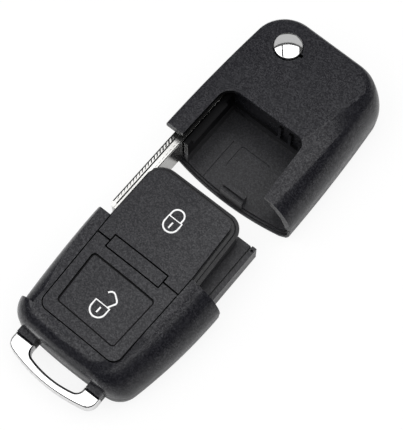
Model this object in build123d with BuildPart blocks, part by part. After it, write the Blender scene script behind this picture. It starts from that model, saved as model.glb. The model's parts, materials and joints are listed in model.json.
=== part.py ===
"""Flip key remote shell, shown with its two halves pulled apart.

+Y runs from the key ring towards the head, +X to the right with the buttons up, +Z away from the back.
The origin is on the back face, on the centre line, at the head's split end.
"""

import os
from math import cos, pi, radians, sin, sqrt

from build123d import *

# Body section (mm)
body_height = 16.4
parting_height = 5.6
parting_gap = 0.2
head_half_width = 18.5
shoulder_radius = 9.5
facet_drop = 2.0
top_edge_radius = 1.0
shoulder_stations = (0, 0.32, 0.62, 0.84, 1)
edge_stations = (0.9, 0.3, 0)
sole_stations = (0, 0.3, 0.7)
sole_squash = 0.75
floor_thickness = 2.0
side_wall = 1.4
roof_thickness = 1.3

# Head outline
head_length = 41.6
head_left_bow = 0.0012
head_right_bow = 0.0015
head_right_swell = 0.12
head_widest = 8.0
head_end_slope = 0.7
head_end_shoulder = 20.4
head_end_roll = 2.2
hub_corner_radius = 8.4
far_corner_radius = 6.5
crease_at_split = 4.7
crease_slope = 0.244
crease_straightness = 0.9
head_sole_radius = 3.2
overrun = 4.0

# Curved joint of the lower shells
split_bulge = 2.1
split_bow_radius = 79.0
split_bow_x = 0.6
split_gap = 0.2
lip_steps = [(0.5, 0.7, 0.5), (1.0, 1.3, 0.9)]

# Remote outline
pull_apart = 25.8
remote_length = 31.5
remote_half_width = 18.5
remote_right_bow = 0.004
remote_end_bow = 0.9
remote_left_roll = 19.8
remote_left_bow = 0.3
remote_end_roll = 4.8
remote_end_stretch = 1.25
remote_corner_radius = 5.5
remote_sole_radius = 4.4
remote_facet_width = 3.3
crown_start = -2.0
crown_radius = 65.0
crown_sweep = 22.0

# Blade, hub and pivot
pivot_x = -8.5
pivot_from_end = 8.3
hub_radius = 8.1
hub_bottom = 2.4
hub_top_gap = 0.2
hub_bore_radius = 4.5
hub_web = 2.0
hub_clearance = 0.3
pivot_boss_radius = 2.5
pivot_boss_height = 1.8
running_clearance = 0.05
washer_radius = 5.6
blade_thickness = 3.0
blade_bottom = 3.4
blade_tip_y = -23.0
blade_tip_radius = 2.6
blade_tail = 0.9
track_depth = 0.9
track_width = 2.4
track_start_from_tip = 2.0
track_end_y = 12.0
track_below_top = 2.6
track_points = 17
track_pitch = 9.0
track_swing = 0.9
blade_tip_corner = 1.1
spine_step_width = 1.2
spine_step_depth = 0.2
spine_groove_width = 0.22
spine_groove_depth = 0.45
blade_clearance = 0.3
slot_bottom = 2.2
slot_roof = 2.2
slot_wall = 1.2
roll_pin_radius = 0.8
roll_pin_below_pivot = 2.8
roll_pin_length = 4.3

# Release button
button_radius = 3.5
button_hole_clearance = 0.18
button_dome = 0.9
button_proud = 0.7
button_sheet = 0.4
index_notch_width = 0.9
index_notch_reach = 0.7
flange_radius = 3.8
flange_thickness = 1.6
flange_gap = 0.1
spring_radius = 3.0
spring_wire = 0.3
spring_turns = 4
spring_gap = 0.1

# Panel and buttons
panel_top_y = 16.2
panel_bottom_y = -25.9
panel_left_top = -13.0
panel_left_split = -13.25
panel_left_bottom = -12.1
panel_right_top = 9.5
panel_right_split = 10.2
panel_right_bottom = 9.75
panel_left_corner = 3.5
panel_right_corner = 2.2
panel_bottom_corner = 2.3
panel_gap = 0.25
cap_thickness = 1.8
cap_travel = 0.6
cap_split_y = -4.75
cap_split_gap = 0.4
bar_left = -9.3
bar_right = 5.8
bar_bottom_y = -6.3
bar_top_y = -3.1
bar_gap = 0.3
recess_depth = 0.45
recess_corner = 1.0
recess_groove_width = 0.4
recess_groove_depth = 0.25
bar_corner = 0.2
sunk_corners = [(-10.6, -9.0), (7.6, -9.2), (7.1, -23.3), (-9.7, -22.9)]
icon_centres = [(-1.8, 7.6), (-1.2, -17.2)]

# Button frame and collar
deck_thickness = 1.4
collar_lip = 1.2
collar_drop = 1.5
collar_bead = 0.5
collar_left = -14.1
skirt_lip = 2.0
skirt_thickness = 0.8
frame_gap = 0.2
core_left = -10.9
core_right = 11.5
core_right_end = 9.25
core_turn_y = -2.0
core_above_tray = 1.3
core_wall = 1.2
core_end_y = 16.6
core_ring_margin = 0.4
core_corner = 2.5
mat_left = -9.8
mat_right = 7.6
mat_bottom_y = -23.4
mat_top_y = 13.4
mat_corner = 2.0
mat_margin = 0.1
mat_recess = 0.6
mat_thickness = 0.5
mat_dome = 0.3
dome_radius = 3.0

# Head bay
bay_depth = 17.8
slide_clearance = 0.3
bay_rail_width = 0.8
bay_rail_height = 1.1
bay_rail_below_deck = 0.6
bay_rail_near = 1.6
bay_rail_far = 14.2
ledge_depth = 0.7
ledge_height = 1.0
ledge_rib_width = 0.8
ledge_rib_pitch = 3.0
ledge_rib_x = 5.0
floor_groove_x = -6.9
floor_groove_width = 0.35
floor_groove_end = 11.2
floor_mark_depth = 0.35
pocket_left = -4.6
pocket_right = 4.4
pocket_near = 4.9
pocket_far = 11.6
pocket_corner = 0.8
screw_x = 4.0
screw_from_end = 14.6
screw_head_radius = 2.0
screw_head_depth = 1.3
screw_shank_radius = 0.95
screw_length = 9.0
medallion_radius = 5.5
medallion_depth = 0.5
clip_left = -1.1
clip_right = 5.4
clip_front = -1.4
clip_back = 0.6
clip_top = 6.0
clip_tread = 0.9
clip_tread_drop = 1.2

# Remote tray
tray_bottom = 6.4
tray_thickness = 1.0
tray_left = -11.9
tray_reach = 16.8
tray_root_y = -4.0
tray_foot = 2.0
tray_groove_width = 0.5
tray_groove_depth = 0.6
rail_pit_radius = 0.35
rail_pit_depth = 1.0
rail_pit_from_end = 1.1
rail_right = 15.8
rail_width = 1.2
rail_bottom = 2.9
rail_top = 8.3
wing_slot_length = 26.5
wing_roof_thickness = 3.5
wing_relief = 1.2
battery_radius = 8.2
battery_rib = 0.9
battery_rib_height = 2.4
battery_x = 1.5
battery_y = -15.5
contact_sheet = 0.25
contact_width = 4.0
contact_lead = 1.5
contact_heel = 1.0
contact_ramp = 3.0
contact_rise = 1.2
contact_tip = 2.0
contact_hook = 3.0

# Key ring bail
bail_bottom = 4.4
bail_top = 8.1
bail_left = -14.1
bail_right = 10.8
bail_inner_left = -8.7
bail_inner_right = 6.3
bail_side = 3.3
bail_bow = 1.9
bail_corner = 2.6
bail_inner_side = 2.1
bail_inner_bow = 1.15
bail_inner_corner = 1.8
bail_round = 0.7
lug_past_shell = 1.1
lug_root = 2.0
lug_margin = 0.3
lug_height_margin = 0.6
tang_width = 2.4
tang_height = 2.4
tang_length = 3.0
tang_overlap = 1.0
tang_clearance = 0.05

remote_y = -pull_apart
shoulder_top = body_height - facet_drop
cap_underside = body_height - cap_thickness
deck_top = cap_underside - cap_travel
deck_bottom = deck_top - deck_thickness
core_bottom = tray_bottom + tray_thickness + core_above_tray
bay_rail_top = deck_bottom - bay_rail_below_deck
wing_roof = body_height - wing_roof_thickness
slot_top = body_height - slot_roof
blade_top = deck_bottom - blade_clearance
blade_width = blade_top - blade_bottom
hub_height = slot_top - hub_top_gap - hub_bottom
pivot_y = head_length - pivot_from_end
screw_y = head_length - screw_from_end
slot_inner_x = pivot_x - hub_radius + blade_thickness + blade_clearance
bay_left_x = slot_inner_x + slot_wall
crown_fall_start = body_height - crown_radius
lug_reach = remote_length + lug_past_shell
lug_root_y = lug_root - remote_length
lugs = [
    (bail_left + lug_margin, bail_inner_left - lug_margin),
    (bail_inner_right + lug_margin, bail_right - lug_margin),
]
tang_z = (bail_top + bail_bottom - tang_height) / 2


def arc_inset(rise, radius):
    """How far a quarter round of this radius has moved inwards after this rise."""
    height = min(max(rise, 0.0), radius)
    return radius - sqrt(radius**2 - height**2)


def shoulder_inset(height, radius):
    """Side inset of the right shoulder below its top."""
    return arc_inset(height - parting_height, radius)


def head_left_x(y):
    return -head_half_width + head_left_bow * y**2


def head_right_x(y):
    return head_half_width + head_right_swell - head_right_bow * (y - head_widest) ** 2


def remote_right_x(y):
    return remote_half_width - remote_right_bow * y**2


def head_outline(height, drop, wall, sole=0.0):
    """Plan outline of the head at one height, lowered by drop and moved in by wall."""
    blend = max(height - shoulder_top, 0.0) / (body_height - shoulder_top)
    arc_height = min(height, shoulder_top)
    left = wall + sole + arc_inset(height - body_height + top_edge_radius, top_edge_radius)
    end = wall + sole + arc_inset(height - body_height + head_end_roll, head_end_roll)
    y_end = head_length - end
    near = head_right_x(0) - shoulder_inset(arc_height, shoulder_radius)
    far = head_right_x(head_length) - shoulder_inset(arc_height, head_end_shoulder)
    crease_far = crease_at_split + crease_slope * head_length
    near = near + blend * (crease_at_split - near) - wall - sole
    far = far + blend * (crease_far - far) - wall - sole
    slope = (far - near) / head_length
    bulge = head_right_x(head_length / 2) - (head_right_x(0) + head_right_x(head_length)) / 2
    bulge = bulge * (1 - crease_straightness * blend)
    y_right = y_end - head_end_slope
    y_middle = (y_right - overrun) / 2
    with BuildSketch(Plane.XY.offset(height - drop)) as outline:
        with BuildLine():
            left_side = ThreePointArc(
                (head_left_x(overrun) + left, -overrun),
                (head_left_x(y_end / 2) + left, y_end / 2),
                (head_left_x(y_end) + left, y_end),
            )
            right_side = ThreePointArc(
                (near - slope * overrun, -overrun),
                (near + slope * y_middle + bulge, y_middle),
                (near + slope * y_right, y_right),
            )
            Line(left_side @ 1, right_side @ 1)
            Line(left_side @ 0, right_side @ 0)
        make_face()
        fillet(outline.vertices().sort_by(Axis.Y)[-1], hub_corner_radius - left)
        far_corner = outline.vertices().filter_by(lambda v: v.X > 0).sort_by(Axis.Y)[-1]
        fillet(far_corner, far_corner_radius - end / 2)
    return outline.sketch


def remote_outline(height, drop, wall, sole=0.0):
    """Plan outline of the remote at one height, with y measured from its own split end."""
    blend = max(height - shoulder_top, 0.0) / (body_height - shoulder_top)
    arc_height = min(height, shoulder_top)
    shoulder = shoulder_inset(arc_height, shoulder_radius) + blend * remote_facet_width
    left_near = wall + sole + arc_inset(height - body_height + top_edge_radius, top_edge_radius)
    left_far = left_near + arc_inset(height - parting_height, remote_left_roll) + remote_left_bow
    roll_base = body_height - remote_end_roll * remote_end_stretch
    end = wall + sole + arc_inset((height - roll_base) / remote_end_stretch, remote_end_roll)
    right = wall + sole + shoulder
    y_end = end - remote_length
    y_corner = y_end + remote_end_bow
    left_middle = left_near + (left_far - left_near) / 4
    with BuildSketch(Plane((0, remote_y, height - drop))) as outline:
        with BuildLine():
            left_side = ThreePointArc(
                (left_near - remote_half_width, overrun),
                (left_middle - remote_half_width, y_corner / 2),
                (left_far - remote_half_width, y_corner),
            )
            right_side = ThreePointArc(
                (remote_right_x(0) - right, overrun),
                (remote_right_x(y_corner / 2) - right, y_corner / 2),
                (remote_right_x(y_corner) - right, y_corner),
            )
            end_x = ((left_side @ 1).X + (right_side @ 1).X) / 2
            ThreePointArc(left_side @ 1, (end_x, y_end), right_side @ 1)
            Line(left_side @ 0, right_side @ 0)
        make_face()
        fillet(outline.vertices().group_by(Axis.Y)[0], remote_corner_radius - end / 3)
    return outline.sketch


def upper_body(outline):
    """Upper half of a body: a round shoulder lofted below a straight lofted facet."""
    rise = shoulder_top - parting_height
    rounds = [parting_height + rise * station for station in shoulder_stations]
    facets = [shoulder_top] + [body_height - top_edge_radius * station for station in edge_stations]
    with BuildPart() as body:
        loft([outline(height, 0, 0) for height in rounds])
        loft([outline(height, 0, 0) for height in facets], ruled=True)
    return body.part


def upper_hollow(outline):
    """Room under the roof, a wall inside the outer form, with straight runs between its levels."""
    rise = shoulder_top - parting_height
    levels = [parting_height + rise * station for station in shoulder_stations] + [body_height]
    with BuildPart() as room:
        loft([outline(height, roof_thickness, side_wall) for height in levels], ruled=True)
    return room.part


def lower_body(outline, sole_radius, lift=0.0, wall=0.0):
    """Lower half of a body, with its sole edge rounded."""
    heights = [sole_radius * station for station in sole_stations] + [parting_height]
    soles = [arc_inset(sole_radius - height, sole_radius) * sole_squash for height in heights]
    with BuildPart() as body:
        loft([outline(height, -lift, wall, sole) for height, sole in zip(heights, soles)], ruled=True)
    return body.part


def right_of_slot(room):
    """The part of a hollow that lies on the bay's side of the blade slot."""
    with BuildPart() as side:
        add(room)
        split(bisect_by=Plane.YZ.offset(bay_left_x), keep=Keep.TOP)
    return side.part


def before_back_wall(room):
    """The part of a hollow that lies in front of the bay's back wall."""
    with BuildPart() as side:
        add(room)
        split(bisect_by=Plane.XZ.offset(-bay_depth), keep=Keep.TOP)
    return side.part


def above_crown(depth):
    """Everything above the crowned top, lowered by depth, over the whole length."""
    reach = 2 * head_half_width
    end_x = crown_start + crown_radius * sin(radians(crown_sweep))
    end_z = crown_fall_start + crown_radius * cos(radians(crown_sweep)) - depth
    middle_x = crown_start + crown_radius * sin(radians(crown_sweep / 2))
    middle_z = crown_fall_start + crown_radius * cos(radians(crown_sweep / 2)) - depth
    top = body_height - depth
    with BuildPart() as region:
        with BuildSketch(Plane.XZ):
            with BuildLine():
                Line((-reach, top), (crown_start, top))
                ThreePointArc((crown_start, top), (middle_x, middle_z), (end_x, end_z))
                Polyline((end_x, end_z), (end_x, 2 * body_height), (-reach, 2 * body_height), (-reach, top))
            make_face()
        extrude(amount=4 * reach, both=True)
    return region.part


def head_side_of_joint(grow, along):
    """Everything on the head's side of the lower shells' curved joint, moved towards the ring by grow."""
    with BuildPart() as region:
        with BuildSketch(Plane((0, along, 0))):
            with Locations((split_bow_x, split_bow_radius - split_bulge)):
                Circle(split_bow_radius + grow)
        extrude(amount=body_height)
    return region.part


def lip_room(inset, lift, wall):
    """One step of the stepped lip along the head's curved joint."""
    with BuildPart() as step:
        add(lower_body(head_outline, head_sole_radius, lift, wall))
        add(head_side_of_joint(-inset, 0), mode=Mode.SUBTRACT)
    return step.part


def blade_sweep_sketch(height, clearance):
    """Plan area that the folded blade, its hub and its swing need."""
    swing_x = pivot_x + hub_radius + clearance
    with BuildSketch(Plane.XY.offset(height)) as area:
        with Locations((pivot_x, pivot_y)):
            Circle(hub_radius + clearance)
        with Locations((slot_inner_x, pivot_y)):
            Rectangle(2 * head_half_width, 2 * head_length, align=(Align.MAX, Align.MAX))
        with Locations((swing_x, pivot_y)):
            Rectangle(2 * head_half_width, head_length, align=(Align.MAX, Align.MIN))
    return area.sketch


def panel_sketch(height, grow, along):
    """Plan outline of the two button caps together, grown by a margin."""
    with BuildSketch(Plane((0, along, height))) as area:
        with BuildLine():
            Polyline(
                (panel_left_top, panel_top_y),
                (panel_left_split, 0),
                (panel_left_bottom, panel_bottom_y),
                (panel_right_bottom, panel_bottom_y),
                (panel_right_split, 0),
                (panel_right_top, panel_top_y),
                close=True,
            )
        make_face()
        ends = area.vertices().group_by(Axis.Y)
        fillet(ends[0], panel_bottom_corner)
        fillet(area.vertices().sort_by(Axis.Y)[-2:].sort_by(Axis.X)[0], panel_left_corner)
        fillet(area.vertices().filter_by(lambda v: v.X > 0).sort_by(Axis.Y)[-1], panel_right_corner)
        if grow:
            offset(amount=grow)
    return area.sketch


def bar_sketch(grow):
    """Plan of the hinge bar, grown by a margin."""
    with BuildSketch() as area:
        with Locations((bar_left - grow, bar_bottom_y - grow)):
            Rectangle(
                bar_right - bar_left + 2 * grow,
                bar_top_y - bar_bottom_y + 2 * grow,
                align=(Align.MIN, Align.MIN),
            )
        fillet(area.vertices(), bar_corner)
    return area.sketch


def mat_sketch(grow):
    """Plan of the rubber mat, grown by a margin, with its opening for the hinge bar."""
    with BuildSketch() as area:
        with Locations((mat_left - grow, mat_bottom_y - grow)):
            Rectangle(
                mat_right - mat_left + 2 * grow,
                mat_top_y - mat_bottom_y + 2 * grow,
                align=(Align.MIN, Align.MIN),
            )
        fillet(area.vertices(), mat_corner)
        add(bar_sketch(2 * mat_margin - grow), mode=Mode.SUBTRACT)
    return area.sketch


def loop_sketch(left, right, side, bow, corner):
    """Plan area past the lugs' ends, with straight sides and one bowed edge."""
    shoulder_y = -lug_reach - side
    bow_point = ((left + right) / 2, shoulder_y - bow)
    with BuildSketch() as area:
        with BuildLine():
            edge = ThreePointArc((left, shoulder_y), bow_point, (right, shoulder_y))
            Polyline(edge @ 1, (right, -lug_reach), (left, -lug_reach), edge @ 0)
        make_face()
        fillet(area.vertices().group_by(Axis.Y)[0], corner)
    return area.sketch


def wing_slot_sketch(height):
    """Plan of the room for the folded blade along the remote's left side."""
    with BuildSketch(Plane((0, remote_y, height))) as area:
        with Locations((slot_inner_x, -wing_slot_length)):
            Rectangle(2 * head_half_width, 2 * wing_slot_length, align=(Align.MAX, Align.MIN))
    return area.sketch


def wing_relief_room():
    """Strip along the left wing's outer side, over the folded blade's slot."""
    heights = (parting_height, shoulder_top, body_height)
    with BuildPart() as inner:
        loft([remote_outline(height, 0, wing_relief) for height in heights])
    with BuildPart() as strip:
        extrude(wing_slot_sketch(0), amount=2 * body_height)
        add(inner.part, mode=Mode.SUBTRACT)
    return strip.part


def lug_sketch(height):
    """Plan of the two lugs that hold the key ring bail."""
    with BuildSketch(Plane((0, remote_y, height))) as area:
        for left_x, right_x in lugs:
            with Locations(((left_x + right_x) / 2, -lug_reach)):
                Rectangle(right_x - left_x, lug_reach + lug_root_y, align=(Align.CENTER, Align.MIN))
    return area.sketch


def tang_sketch(height, clearance, start_y):
    """Plan of the bail's two tangs, or of their sockets, from start_y to their ends."""
    with BuildSketch(Plane((0, remote_y, height))) as area:
        for left_x, right_x in lugs:
            with Locations(((left_x + right_x) / 2, start_y)):
                Rectangle(
                    tang_width + 2 * clearance,
                    tang_length - lug_reach - start_y + clearance,
                    align=(Align.CENTER, Align.MIN),
                )
    return area.sketch


def tang_sockets():
    """Room for the bail's tangs inside the lugs."""
    with BuildPart() as room:
        extrude(
            tang_sketch(tang_z - tang_clearance, tang_clearance, -lug_reach),
            amount=tang_height + 2 * tang_clearance,
        )
    return room.part


def frame_room():
    """Room for the button frame inside the remote, beside the blade slot."""
    with BuildPart() as room:
        extrude(panel_sketch(core_bottom, panel_gap, remote_y), amount=body_height)
        split(bisect_by=Plane.YZ.offset(bay_left_x), keep=Keep.TOP)
    return room.part


def collar_ring(along, clearance):
    """The collar's bead ring under the crowned top, grown by a clearance."""
    with BuildPart() as ring:
        extrude(panel_sketch(deck_bottom - clearance, collar_lip + clearance, along), amount=body_height)
        add(above_crown(collar_drop - clearance), mode=Mode.SUBTRACT)
        split(bisect_by=Plane.YZ.offset(collar_left - clearance), keep=Keep.TOP)
    return ring.part


def collar_skirt(along, clearance):
    """The collar's wider, lower skirt, grown by a clearance."""
    with BuildPart() as skirt:
        extrude(
            panel_sketch(deck_bottom - clearance, skirt_lip + clearance, along),
            amount=skirt_thickness + 2 * clearance,
        )
        split(bisect_by=Plane.YZ.offset(collar_left - clearance), keep=Keep.TOP)
    return skirt.part


def frame_collar():
    """Bead-edged collar round the part of the panel that slides into the head."""
    split_end = remote_y + frame_gap
    with BuildPart() as collar:
        add(collar_ring(remote_y, 0))
        split(bisect_by=Plane.XZ.offset(-split_end), keep=Keep.BOTTOM)
        raised = collar.edges().filter_by(
            lambda edge: edge.bounding_box().min.Z > deck_bottom + collar_bead / 10
        )
        rim = raised.filter_by(
            lambda edge: edge.center().Y > split_end + collar_bead / 10
            and abs(edge.center().X - crown_start) > collar_bead / 10
        )
        fillet(rim, collar_bead)
        add(collar_skirt(remote_y, 0))
        extrude(panel_sketch(deck_bottom, panel_gap, remote_y), amount=body_height, mode=Mode.SUBTRACT)
        extrude(panel_sketch(deck_bottom, panel_gap, remote_y), amount=deck_thickness)
        split(bisect_by=Plane.XZ.offset(-split_end), keep=Keep.BOTTOM)
    return collar.part


def frame_deck():
    """Deck under the part of the panel that stays in the remote."""
    with BuildPart() as deck:
        extrude(panel_sketch(deck_bottom, 0, remote_y), amount=deck_top - deck_bottom)
        split(bisect_by=Plane.XZ.offset(pull_apart - frame_gap), keep=Keep.TOP)
        split(bisect_by=Plane.YZ.offset(core_left), keep=Keep.TOP)
    return deck.part


def sunk_face_room(depth, inner_margin):
    """Room over the unlock button's sunk face, less an inner part, down to a depth under the crowned top."""
    with BuildPart() as room:
        with BuildSketch(Plane((0, remote_y, cap_underside))) as sunk_plan:
            with BuildLine():
                Polyline(*sunk_corners, close=True)
            make_face()
            fillet(sunk_plan.vertices(), recess_corner)
            if inner_margin:
                offset(amount=-inner_margin, mode=Mode.SUBTRACT)
        extrude(amount=body_height)
        add(above_crown(depth), mode=Mode.INTERSECT)
    return room.part


# Head upper shell
with BuildPart() as head_upper_shell:
    add(upper_body(head_outline))
    # Split end of the head
    split(bisect_by=Plane.XZ, keep=Keep.BOTTOM)
    # Bay for the remote's tongue, under the roof plate
    add(right_of_slot(before_back_wall(upper_hollow(head_outline))), mode=Mode.SUBTRACT)
    # Notch in the roof plate, shaped as the lock cap with its gap
    extrude(panel_sketch(bay_rail_top, slide_clearance, 0), amount=body_height, mode=Mode.SUBTRACT)
    # Channel for the collar, cut under the roof plate
    add(collar_ring(0, slide_clearance), mode=Mode.SUBTRACT)
    add(collar_skirt(0, slide_clearance), mode=Mode.SUBTRACT)
    # Guide rail along the slot wall
    with BuildSketch(Plane.XY.offset(bay_rail_top)):
        with Locations((bay_left_x - slot_wall, bay_rail_near)):
            Rectangle(slot_wall + bay_rail_width, bay_rail_far - bay_rail_near, align=(Align.MIN, Align.MIN))
    extrude(amount=-bay_rail_height)
    # Ledge and ribs on the bay's back wall
    with BuildSketch(Plane.XY.offset(parting_height)):
        with Locations((bay_left_x, bay_depth)):
            Rectangle(panel_right_top - bay_left_x, ledge_depth, align=(Align.MIN, Align.MAX))
    extrude(amount=ledge_height)
    with BuildSketch(Plane.XY.offset(parting_height)):
        with Locations((ledge_rib_x, bay_depth - ledge_depth / 2)):
            with GridLocations(ledge_rib_pitch, 0, 3, 1):
                Rectangle(ledge_rib_width, ledge_depth)
    extrude(amount=bay_rail_top - parting_height)
    # Room for the blade and its hub
    extrude(blade_sweep_sketch(0, hub_clearance), amount=slot_top, mode=Mode.SUBTRACT)
    # Hole for the release button, with its index notch
    with BuildSketch(Plane.XY.offset(slot_top - hub_clearance)):
        with Locations((pivot_x, pivot_y)):
            Circle(button_radius + button_hole_clearance)
            Rectangle(
                button_radius + button_hole_clearance + index_notch_reach,
                index_notch_width,
                align=(Align.MIN, Align.CENTER),
            )
    extrude(amount=body_height, mode=Mode.SUBTRACT)
    with BuildSketch(Plane.XY):
        with Locations((screw_x, screw_y)):
            Circle(screw_shank_radius + running_clearance)
    extrude(amount=screw_length + hub_clearance, mode=Mode.SUBTRACT)
    split(bisect_by=Plane.XY.offset(parting_height + parting_gap / 2), keep=Keep.TOP)

# Head lower shell
with BuildPart() as head_lower_shell:
    add(lower_body(head_outline, head_sole_radius))
    split(bisect_by=Plane.XY.offset(parting_height - parting_gap / 2), keep=Keep.BOTTOM)
    add(head_side_of_joint(0, 0), mode=Mode.INTERSECT)
    hollow = lower_body(head_outline, head_sole_radius, floor_thickness, side_wall)
    add(right_of_slot(before_back_wall(hollow)), mode=Mode.SUBTRACT)
    # Stepped lip along the curved joint
    for inset, lift, wall in lip_steps:
        add(lip_room(inset, lift, wall), mode=Mode.SUBTRACT)
    extrude(blade_sweep_sketch(slot_bottom, hub_clearance), amount=body_height, mode=Mode.SUBTRACT)
    # Boss that the hub turns on
    with BuildSketch(Plane.XY.offset(slot_bottom)):
        with Locations((pivot_x, pivot_y)):
            Circle(pivot_boss_radius)
    extrude(amount=pivot_boss_height)
    # Long groove and shallow pocket in the bay's floor
    with BuildSketch(Plane.XY.offset(floor_thickness)) as floor_marks:
        with Locations((floor_groove_x, -overrun)):
            Rectangle(floor_groove_width, floor_groove_end + overrun, align=(Align.CENTER, Align.MIN))
        with Locations(((pocket_left + pocket_right) / 2, (pocket_near + pocket_far) / 2)):
            RectangleRounded(pocket_right - pocket_left, pocket_far - pocket_near, pocket_corner)
    extrude(amount=-floor_mark_depth, mode=Mode.SUBTRACT)
    # Clip block at the mouth of the bay, with a tread along its front
    with BuildSketch(Plane.YZ.offset(clip_left)):
        with BuildLine():
            Polyline(
                (clip_front, lip_steps[0][1]),
                (clip_front, clip_top - clip_tread_drop),
                (clip_front + clip_tread, clip_top - clip_tread_drop),
                (clip_front + clip_tread, clip_top),
                (clip_back, clip_top),
                (clip_back, lip_steps[0][1]),
                close=True,
            )
        make_face()
    extrude(amount=clip_right - clip_left)
    # Screw hole and plain round recess in the back
    with BuildSketch(Plane.XY):
        with Locations((screw_x, screw_y)):
            Circle(medallion_radius)
    extrude(amount=medallion_depth, mode=Mode.SUBTRACT)
    with BuildSketch(Plane.XY):
        with Locations((screw_x, screw_y)):
            Circle(screw_head_radius + 2 * running_clearance)
    extrude(amount=medallion_depth + screw_head_depth, mode=Mode.SUBTRACT)
    with BuildSketch(Plane.XY):
        with Locations((screw_x, screw_y)):
            Circle(screw_shank_radius + 2 * running_clearance)
    extrude(amount=parting_height, mode=Mode.SUBTRACT)

# Head screw
with BuildPart() as head_screw:
    with BuildSketch(Plane.XY.offset(medallion_depth)):
        with Locations((screw_x, screw_y)):
            Circle(screw_head_radius)
    extrude(amount=screw_head_depth)
    with BuildSketch(Plane.XY.offset(medallion_depth + screw_head_depth)):
        with Locations((screw_x, screw_y)):
            Circle(screw_shank_radius)
    extrude(amount=screw_length - medallion_depth - screw_head_depth)

# Washer between the lower shell and the hub
with BuildPart() as hub_washer:
    with BuildSketch(Plane.XY.offset(slot_bottom)):
        with Locations((pivot_x, pivot_y)):
            Circle(washer_radius)
            Circle(pivot_boss_radius + running_clearance, mode=Mode.SUBTRACT)
    extrude(amount=hub_bottom - slot_bottom)

# Blade hub
pin_y = pivot_y - roll_pin_below_pivot
pin_z = blade_bottom + blade_width / 2
blade_left_x = pivot_x - hub_radius
blade_end_y = pivot_y + blade_tail
with BuildPart() as blade_hub:
    with BuildSketch(Plane.XY.offset(hub_bottom)):
        with Locations((pivot_x, pivot_y)):
            Circle(hub_radius)
            Circle(pivot_boss_radius + running_clearance, mode=Mode.SUBTRACT)
    extrude(amount=hub_height)
    with BuildSketch(Plane.XY.offset(hub_bottom + hub_web)):
        with Locations((pivot_x, pivot_y)):
            Circle(hub_bore_radius)
    extrude(amount=hub_height, mode=Mode.SUBTRACT)
    with BuildSketch(Plane.XY.offset(blade_bottom)):
        with Locations((blade_left_x + blade_thickness, blade_end_y)):
            Rectangle(hub_radius, 2 * hub_radius, align=(Align.MAX, Align.MAX))
    extrude(amount=blade_width, mode=Mode.SUBTRACT)
    with BuildSketch(Plane.YZ.offset(blade_left_x)):
        with Locations((pin_y, pin_z)):
            Circle(roll_pin_radius)
    extrude(amount=roll_pin_length, mode=Mode.SUBTRACT)

# Key blade
track_start_y = blade_tip_y + track_start_from_tip
track_middle_z = blade_top - track_below_top


def track_edge(offset_z):
    """Wavy edge of the side track: a sine along the blade."""
    step = (track_end_y - track_start_y) / (track_points - 1)
    stations = [track_start_y + step * index for index in range(track_points)]
    return [(y, track_middle_z + offset_z + track_swing * sin(2 * pi * y / track_pitch)) for y in stations]


with BuildPart() as key_blade:
    with BuildSketch(Plane.YZ.offset(blade_left_x)) as blade_side:
        with Locations((blade_tip_y, blade_bottom)):
            Rectangle(blade_end_y - blade_tip_y, blade_width, align=(Align.MIN, Align.MIN))
        fillet(blade_side.vertices().group_by(Axis.Y)[0], blade_tip_radius)
    extrude(amount=blade_thickness)
    with BuildSketch(Plane.YZ.offset(blade_left_x)):
        with Locations((pin_y, pin_z)):
            Circle(roll_pin_radius)
    extrude(amount=blade_thickness, mode=Mode.SUBTRACT)
    with BuildSketch(Plane.YZ.offset(blade_left_x)):
        with BuildLine():
            low_edge = Spline(track_edge(-track_width / 2))
            high_edge = Spline(track_edge(track_width / 2))
            Line(low_edge @ 0, high_edge @ 0)
            Line(low_edge @ 1, high_edge @ 1)
        make_face()
    extrude(amount=track_depth, mode=Mode.SUBTRACT)
    # Step along the outer edge of the spine, with a groove at its foot
    with BuildSketch(Plane.XZ.offset(-track_end_y)):
        with Locations((blade_left_x, blade_top)):
            Rectangle(spine_step_width, spine_step_depth, align=(Align.MIN, Align.MAX))
        with Locations((blade_left_x + spine_step_width, blade_top)):
            Rectangle(spine_groove_width, spine_groove_depth, align=(Align.MIN, Align.MAX))
    extrude(amount=track_end_y - blade_tip_y, mode=Mode.SUBTRACT)
    # Rounded plan of the tip
    with BuildSketch(Plane.XY.offset(blade_bottom)) as blade_plan:
        with Locations((blade_left_x, blade_tip_y)):
            Rectangle(blade_thickness, blade_end_y - blade_tip_y, align=(Align.MIN, Align.MIN))
        fillet(blade_plan.vertices().group_by(Axis.Y)[0], blade_tip_corner)
    extrude(amount=blade_width, mode=Mode.INTERSECT)

# Blade roll pin
with BuildPart() as blade_roll_pin:
    with BuildSketch(Plane.YZ.offset(blade_left_x)):
        with Locations((pin_y, pin_z)):
            Circle(roll_pin_radius)
    extrude(amount=roll_pin_length)

# Release plunger, inside the hub
flange_top = slot_top - flange_gap
flange_bottom = flange_top - flange_thickness
button_rim = body_height + button_proud
pivot_axis = Axis((pivot_x, pivot_y, 0), (0, 0, 1))
with BuildPart() as release_plunger:
    with BuildSketch(Plane((pivot_x, pivot_y, 0), x_dir=(1, 0, 0), z_dir=(0, -1, 0))):
        with BuildLine():
            Polyline(
                (0, flange_bottom),
                (flange_radius, flange_bottom),
                (flange_radius, flange_top),
                (button_radius - button_sheet, flange_top),
                (button_radius - button_sheet, button_rim - button_sheet),
                (0, button_rim - button_sheet),
                close=True,
            )
        make_face()
    revolve(axis=pivot_axis)

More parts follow.
